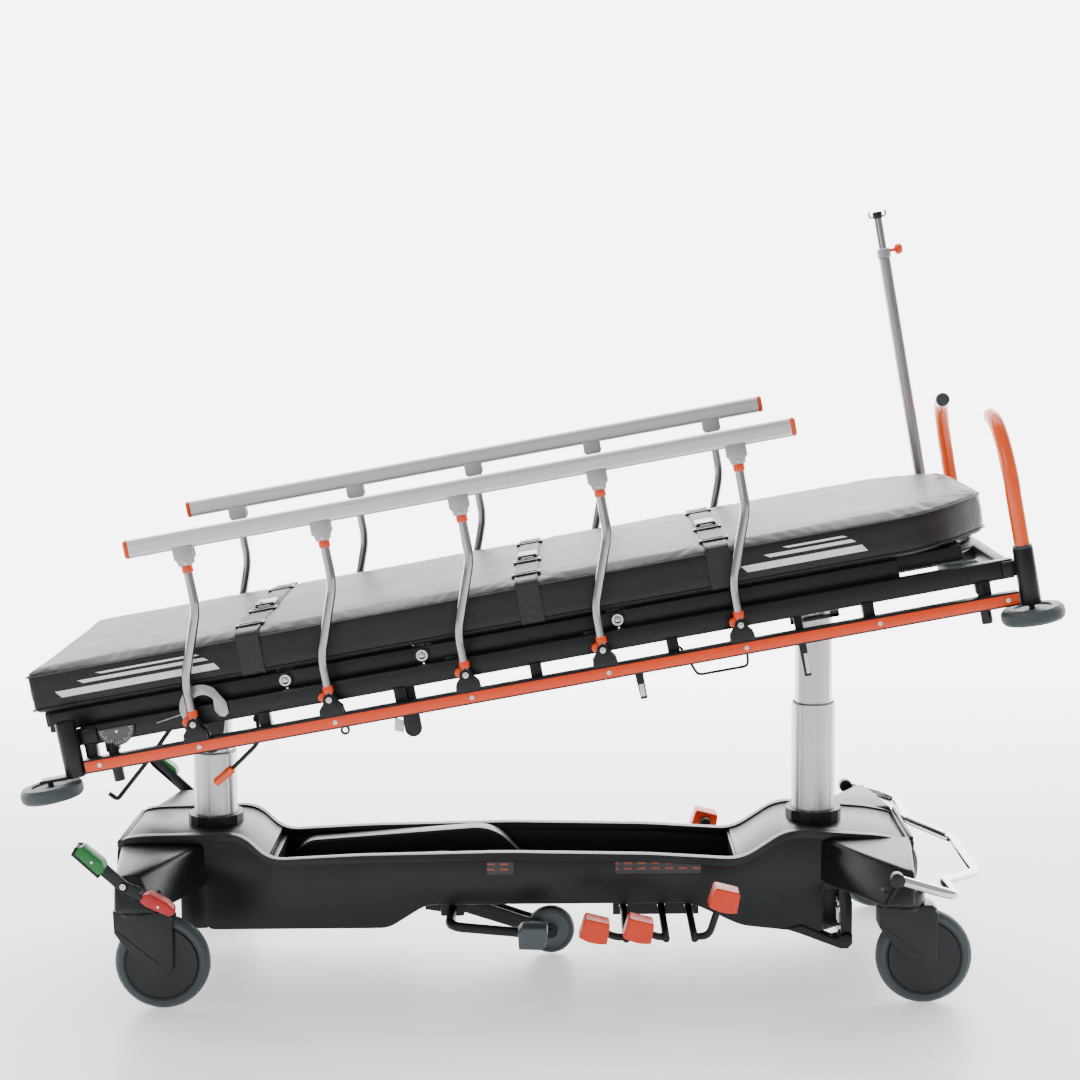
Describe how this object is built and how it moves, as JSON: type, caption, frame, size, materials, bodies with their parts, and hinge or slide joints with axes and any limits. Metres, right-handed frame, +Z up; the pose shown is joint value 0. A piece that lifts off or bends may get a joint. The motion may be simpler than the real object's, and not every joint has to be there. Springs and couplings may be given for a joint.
{
  "type": "stretcher trolley",
  "caption": "Patient transport stretcher on swivel casters with two telescopic columns, a tilting platform, folding siderails, push handles and an infusion pole.",
  "frame": {"origin": "on the floor, under the middle of the trolley's outer box", "axes": "+X towards the head end, +Y to the patient's right, +Z up"},
  "size_m": [2.1403, 0.858, 1.6603],
  "materials": {
    "moulded_black": "moulded, soft sheen",
    "powder_black": "black powder coat",
    "grey_rubber": "slate grey rubber",
    "orange": "orange, glossy",
    "orange_rail": "orange band in a black rail",
    "anodised": "satin anodised",
    "stainless": "polished tube",
    "chrome": "bright",
    "mattress_fabric": "coated fabric, satin",
    "tyre_grey": "grey tread"
  },
  "bodies": {
    "base": {"base_cover": "moulded_black", "chassis": "powder_black", "bottle_cradle": "moulded_black"},
    "foot_inner": {"foot_inner_tube": "anodised"},
    "foot_middle": {"foot_middle_tube": "anodised"},
    "platform": {"platform_frame": "powder_black", "accessory_rail_left": "orange_rail", "accessory_rail_right": "orange_rail", "seat_section": "powder_black", "mattress_seat": "mattress_fabric", "pole_outer_tube": "stainless", "angle_dial": "moulded_black"},
    "head_middle": {"head_middle_tube": "anodised"},
    "head_ram": {"head_ram_tube": "anodised"},
    "head_inner": {"head_inner_tube": "anodised"},
    "caster_fork_foot_left": {"caster_fork_foot_left": "moulded_black"},
    "caster_wheel_foot_left": {"caster_wheel_foot_left": "tyre_grey"},
    "caster_fork_foot_right": {"caster_fork_foot_right": "moulded_black"},
    "caster_wheel_foot_right": {"caster_wheel_foot_right": "tyre_grey"},
    "caster_fork_head_left": {"caster_fork_head_left": "moulded_black"},
    "caster_wheel_head_left": {"caster_wheel_head_left": "tyre_grey"},
    "caster_fork_head_right": {"caster_fork_head_right": "moulded_black"},
    "caster_wheel_head_right": {"caster_wheel_head_right": "tyre_grey"},
    "fifth_wheel_arm": {"fifth_wheel_arm": "powder_black", "fifth_wheel_pedal": "grey_rubber"},
    "fifth_wheel": {"fifth_wheel": "tyre_grey"},
    "brake_pedals": {"brake_pedals": "powder_black"},
    "brake_bar": {"brake_bar": "chrome"},
    "foot_pump_pedal": {"foot_pump_pedal": "orange"},
    "release_pedal": {"release_pedal": "orange"},
    "head_pump_pedal": {"head_pump_pedal": "orange"},
    "siderail_post_left_1": {"siderail_post_left_1": "stainless"},
    "siderail_post_left_2": {"siderail_post_left_2": "stainless"},
    "siderail_post_left_3": {"siderail_post_left_3": "stainless"},
    "siderail_post_left_4": {"siderail_post_left_4": "stainless"},
    "siderail_post_left_5": {"siderail_post_left_5": "stainless"},
    "siderail_top_left": {"siderail_top_left": "anodised"},
    "siderail_latch_left": {"siderail_latch_left": "anodised"},
    "push_handle_left": {"push_handle_left": "orange"},
    "bumper_head_left": {"bumper_head_left": "grey_rubber"},
    "bumper_foot_left": {"bumper_foot_left": "grey_rubber"},
    "siderail_post_right_1": {"siderail_post_right_1": "stainless"},
    "siderail_post_right_2": {"siderail_post_right_2": "stainless"},
    "siderail_post_right_3": {"siderail_post_right_3": "stainless"},
    "siderail_post_right_4": {"siderail_post_right_4": "stainless"},
    "siderail_post_right_5": {"siderail_post_right_5": "stainless"},
    "siderail_top_right": {"siderail_top_right": "anodised"},
    "siderail_latch_right": {"siderail_latch_right": "anodised"},
    "push_handle_right": {"push_handle_right": "orange"},
    "bumper_head_right": {"bumper_head_right": "grey_rubber"},
    "bumper_foot_right": {"bumper_foot_right": "grey_rubber"},
    "back": {"back_section": "powder_black", "mattress_back": "mattress_fabric"},
    "thigh": {"thigh_section": "powder_black", "mattress_thigh": "mattress_fabric"},
    "leg": {"leg_section": "powder_black", "mattress_leg": "mattress_fabric"},
    "pole_rod": {"pole_rod": "stainless"},
    "pole_knob": {"pole_knob": "orange"},
    "release_lever": {"release_lever": "orange"}
  },
  "joints": [
    {"name": "lift", "type": "slide", "parent": "base", "child": "foot_inner", "axis": [0, 0, 1], "range_m": [0, 0.28]},
    {"name": "foot_middle_slide", "type": "slide", "parent": "base", "child": "foot_middle", "axis": [0, 0, 1], "range_m": [-0.001, 0.141]},
    {"name": "tilt", "type": "hinge", "parent": "foot_inner", "child": "platform", "pos_m": [-0.729, 0, 0.505], "axis": [0, -1, 0], "range_deg": [-14.9, 2]},
    {"name": "head_middle_slide", "type": "slide", "parent": "base", "child": "head_middle", "axis": [0, 0, 1], "range_m": [-0.176, 0.0245]},
    {"name": "head_ram_slide", "type": "slide", "parent": "head_middle", "child": "head_ram", "axis": [0, 0, 1], "range_m": [-0.001, 0.281]},
    {"name": "head_inner_slide", "type": "slide", "parent": "head_ram", "child": "head_inner", "axis": [0, 0, 1], "range_m": [-0.176, 0.0245]},
    {"name": "caster_swivel_foot_left", "type": "hinge", "parent": "base", "child": "caster_fork_foot_left", "pos_m": [-0.841, -0.335, 0.216], "axis": [0, 0, 1], "continuous": true},
    {"name": "caster_spin_foot_left", "type": "hinge", "parent": "caster_fork_foot_left", "child": "caster_wheel_foot_left", "pos_m": [-0.794, -0.335, 0.1], "axis": [0, 1, 0], "continuous": true},
    {"name": "caster_swivel_foot_right", "type": "hinge", "parent": "base", "child": "caster_fork_foot_right", "pos_m": [-0.841, 0.335, 0.216], "axis": [0, 0, 1], "continuous": true},
    {"name": "caster_spin_foot_right", "type": "hinge", "parent": "caster_fork_foot_right", "child": "caster_wheel_foot_right", "pos_m": [-0.794, 0.335, 0.1], "axis": [0, 1, 0], "continuous": true},
    {"name": "caster_swivel_head_left", "type": "hinge", "parent": "base", "child": "caster_fork_head_left", "pos_m": [0.749, -0.335, 0.216], "axis": [0, 0, 1], "continuous": true},
    {"name": "caster_spin_head_left", "type": "hinge", "parent": "caster_fork_head_left", "child": "caster_wheel_head_left", "pos_m": [0.796, -0.335, 0.1], "axis": [0, 1, 0], "continuous": true},
    {"name": "caster_swivel_head_right", "type": "hinge", "parent": "base", "child": "caster_fork_head_right", "pos_m": [0.749, 0.335, 0.216], "axis": [0, 0, 1], "continuous": true},
    {"name": "caster_spin_head_right", "type": "hinge", "parent": "caster_fork_head_right", "child": "caster_wheel_head_right", "pos_m": [0.796, 0.335, 0.1], "axis": [0, 1, 0], "continuous": true},
    {"name": "fifth_wheel_arm_lift", "type": "hinge", "parent": "base", "child": "fifth_wheel_arm", "pos_m": [-0.2, 0, 0.128], "axis": [0, -1, 0], "range_deg": [0, 9]},
    {"name": "fifth_wheel_spin", "type": "hinge", "parent": "fifth_wheel_arm", "child": "fifth_wheel", "pos_m": [0.016, 0, 0.056], "axis": [0, 1, 0], "continuous": true},
    {"name": "brake", "type": "hinge", "parent": "base", "child": "brake_pedals", "pos_m": [-0.859, 0, 0.279], "axis": [0, -1, 0], "range_deg": [0, 50]},
    {"name": "brake_bar_turn", "type": "hinge", "parent": "base", "child": "brake_bar", "pos_m": [0.73, 0, 0.281], "axis": [0, -1, 0], "range_deg": [-0.5, 20.5]},
    {"name": "foot_pump", "type": "hinge", "parent": "base", "child": "foot_pump_pedal", "pos_m": [0.178, 0, 0.126], "axis": [0, -1, 0], "range_deg": [0, 18]},
    {"name": "release", "type": "hinge", "parent": "base", "child": "release_pedal", "pos_m": [0.262, 0, 0.126], "axis": [0, -1, 0], "range_deg": [0, 18]},
    {"name": "head_pump", "type": "hinge", "parent": "base", "child": "head_pump_pedal", "pos_m": [0.322, 0, 0.126], "axis": [0, 1, 0], "range_deg": [0, 18]},
    {"name": "siderail_fold_left", "type": "hinge", "parent": "platform", "child": "siderail_post_left_1", "pos_m": [-0.70814, -0.362, 0.61219], "axis": [0, 1, 0], "range_deg": [0, 66]},
    {"name": "siderail_post_left_2_turn", "type": "hinge", "parent": "platform", "child": "siderail_post_left_2", "pos_m": [-0.42818, -0.362, 0.6611], "axis": [0, 1, 0], "range_deg": [-0.5, 66.5]},
    {"name": "siderail_post_left_3_turn", "type": "hinge", "parent": "platform", "child": "siderail_post_left_3", "pos_m": [-0.14822, -0.362, 0.71001], "axis": [0, 1, 0], "range_deg": [-0.5, 66.5]},
    {"name": "siderail_post_left_4_turn", "type": "hinge", "parent": "platform", "child": "siderail_post_left_4", "pos_m": [0.13174, -0.362, 0.75892], "axis": [0, 1, 0], "range_deg": [-0.5, 66.5]},
    {"name": "siderail_post_left_5_turn", "type": "hinge", "parent": "platform", "child": "siderail_post_left_5", "pos_m": [0.4117, -0.362, 0.80783], "axis": [0, 1, 0], "range_deg": [-0.5, 66.5]},
    {"name": "siderail_top_left_turn", "type": "hinge", "parent": "siderail_post_left_1", "child": "siderail_top_left", "pos_m": [-0.71244, -0.362, 0.94014], "axis": [0, 1, 0], "range_deg": [-66.5, 0.5]},
    {"name": "siderail_latch_left_turn", "type": "hinge", "parent": "platform", "child": "siderail_latch_left", "pos_m": [-0.66489, -0.362, 0.63193], "axis": [0, 1, 0], "range_deg": [-18, 0]},
    {"name": "push_handle_left_turn", "type": "hinge", "parent": "platform", "child": "push_handle_left", "pos_m": [0.99014, -0.365, 0.90889], "axis": [0.1721, 0, -0.9851], "range_deg": [0, 90]},
    {"name": "bumper_head_left_spin", "type": "hinge", "parent": "platform", "child": "bumper_head_left", "pos_m": [1.00494, -0.365, 0.82417], "axis": [-0.1721, 0, 0.9851], "continuous": true},
    {"name": "bumper_foot_left_spin", "type": "hinge", "parent": "platform", "child": "bumper_foot_left", "pos_m": [-1.00462, -0.365, 0.47309], "axis": [-0.1721, 0, 0.9851], "continuous": true},
    {"name": "siderail_fold_right", "type": "hinge", "parent": "platform", "child": "siderail_post_right_1", "pos_m": [-0.70814, 0.362, 0.61219], "axis": [0, 1, 0], "range_deg": [0, 66]},
    {"name": "siderail_post_right_2_turn", "type": "hinge", "parent": "platform", "child": "siderail_post_right_2", "pos_m": [-0.42818, 0.362, 0.6611], "axis": [0, 1, 0], "range_deg": [-0.5, 66.5]},
    {"name": "siderail_post_right_3_turn", "type": "hinge", "parent": "platform", "child": "siderail_post_right_3", "pos_m": [-0.14822, 0.362, 0.71001], "axis": [0, 1, 0], "range_deg": [-0.5, 66.5]},
    {"name": "siderail_post_right_4_turn", "type": "hinge", "parent": "platform", "child": "siderail_post_right_4", "pos_m": [0.13174, 0.362, 0.75892], "axis": [0, 1, 0], "range_deg": [-0.5, 66.5]},
    {"name": "siderail_post_right_5_turn", "type": "hinge", "parent": "platform", "child": "siderail_post_right_5", "pos_m": [0.4117, 0.362, 0.80783], "axis": [0, 1, 0], "range_deg": [-0.5, 66.5]},
    {"name": "siderail_top_right_turn", "type": "hinge", "parent": "siderail_post_right_1", "child": "siderail_top_right", "pos_m": [-0.71244, 0.362, 0.94014], "axis": [0, 1, 0], "range_deg": [-66.5, 0.5]},
    {"name": "siderail_latch_right_turn", "type": "hinge", "parent": "platform", "child": "siderail_latch_right", "pos_m": [-0.66489, 0.362, 0.63193], "axis": [0, 1, 0], "range_deg": [-18, 0]},
    {"name": "push_handle_right_turn", "type": "hinge", "parent": "platform", "child": "push_handle_right", "pos_m": [0.99014, 0.365, 0.90889], "axis": [-0.1721, 0, 0.9851], "range_deg": [0, 90]},
    {"name": "bumper_head_right_spin", "type": "hinge", "parent": "platform", "child": "bumper_head_right", "pos_m": [1.00494, 0.365, 0.82417], "axis": [-0.1721, 0, 0.9851], "continuous": true},
    {"name": "bumper_foot_right_spin", "type": "hinge", "parent": "platform", "child": "bumper_foot_right", "pos_m": [-1.00462, 0.365, 0.47309], "axis": [-0.1721, 0, 0.9851], "continuous": true},
    {"name": "backrest", "type": "hinge", "parent": "platform", "child": "back", "pos_m": [0.16276, 0, 0.81612], "axis": [0, -1, 0], "range_deg": [0, 70]},
    {"name": "thigh_rise", "type": "hinge", "parent": "platform", "child": "thigh", "pos_m": [-0.24112, 0, 0.74555], "axis": [0, 1, 0], "range_deg": [0, 30]},
    {"name": "leg_fall", "type": "hinge", "parent": "thigh", "child": "leg", "pos_m": [-0.52482, 0, 0.69599], "axis": [0, 1, 0], "range_deg": [-45.5, 0.5]},
    {"name": "pole_rod_slide", "type": "slide", "parent": "platform", "child": "pole_rod", "axis": [-0.1721, 0, 0.9851], "range_m": [0, 0.32]},
    {"name": "pole_knob_turn", "type": "hinge", "parent": "platform", "child": "pole_knob", "pos_m": [0.79615, 0.306, 1.56022], "axis": [0.9851, 0, 0.1721], "continuous": true},
    {"name": "release_lever_turn", "type": "hinge", "parent": "platform", "child": "release_lever", "pos_m": [-0.58777, -0.295, 0.60886], "axis": [0, -1, 0], "range_deg": [0, 14]}
  ],
  "couplings": [
    {"joint": "foot_middle_slide", "follows": "lift", "ratio": 0.5},
    {"joint": "head_middle_slide", "follows": "tilt", "m_per_rad": 0.6725},
    {"joint": "head_ram_slide", "follows": "lift", "ratio": 1},
    {"joint": "head_inner_slide", "follows": "tilt", "m_per_rad": 0.6725},
    {"joint": "brake_bar_turn", "follows": "brake", "ratio": 0.4},
    {"joint": "siderail_post_left_2_turn", "follows": "siderail_fold_left", "ratio": 1},
    {"joint": "siderail_post_left_3_turn", "follows": "siderail_fold_left", "ratio": 1},
    {"joint": "siderail_post_left_4_turn", "follows": "siderail_fold_left", "ratio": 1},
    {"joint": "siderail_post_left_5_turn", "follows": "siderail_fold_left", "ratio": 1},
    {"joint": "siderail_top_left_turn", "follows": "siderail_fold_left", "ratio": -1},
    {"joint": "siderail_post_right_2_turn", "follows": "siderail_fold_right", "ratio": 1},
    {"joint": "siderail_post_right_3_turn", "follows": "siderail_fold_right", "ratio": 1},
    {"joint": "siderail_post_right_4_turn", "follows": "siderail_fold_right", "ratio": 1},
    {"joint": "siderail_post_right_5_turn", "follows": "siderail_fold_right", "ratio": 1},
    {"joint": "siderail_top_right_turn", "follows": "siderail_fold_right", "ratio": -1},
    {"joint": "leg_fall", "follows": "thigh_rise", "ratio": -1.5}
  ]
}
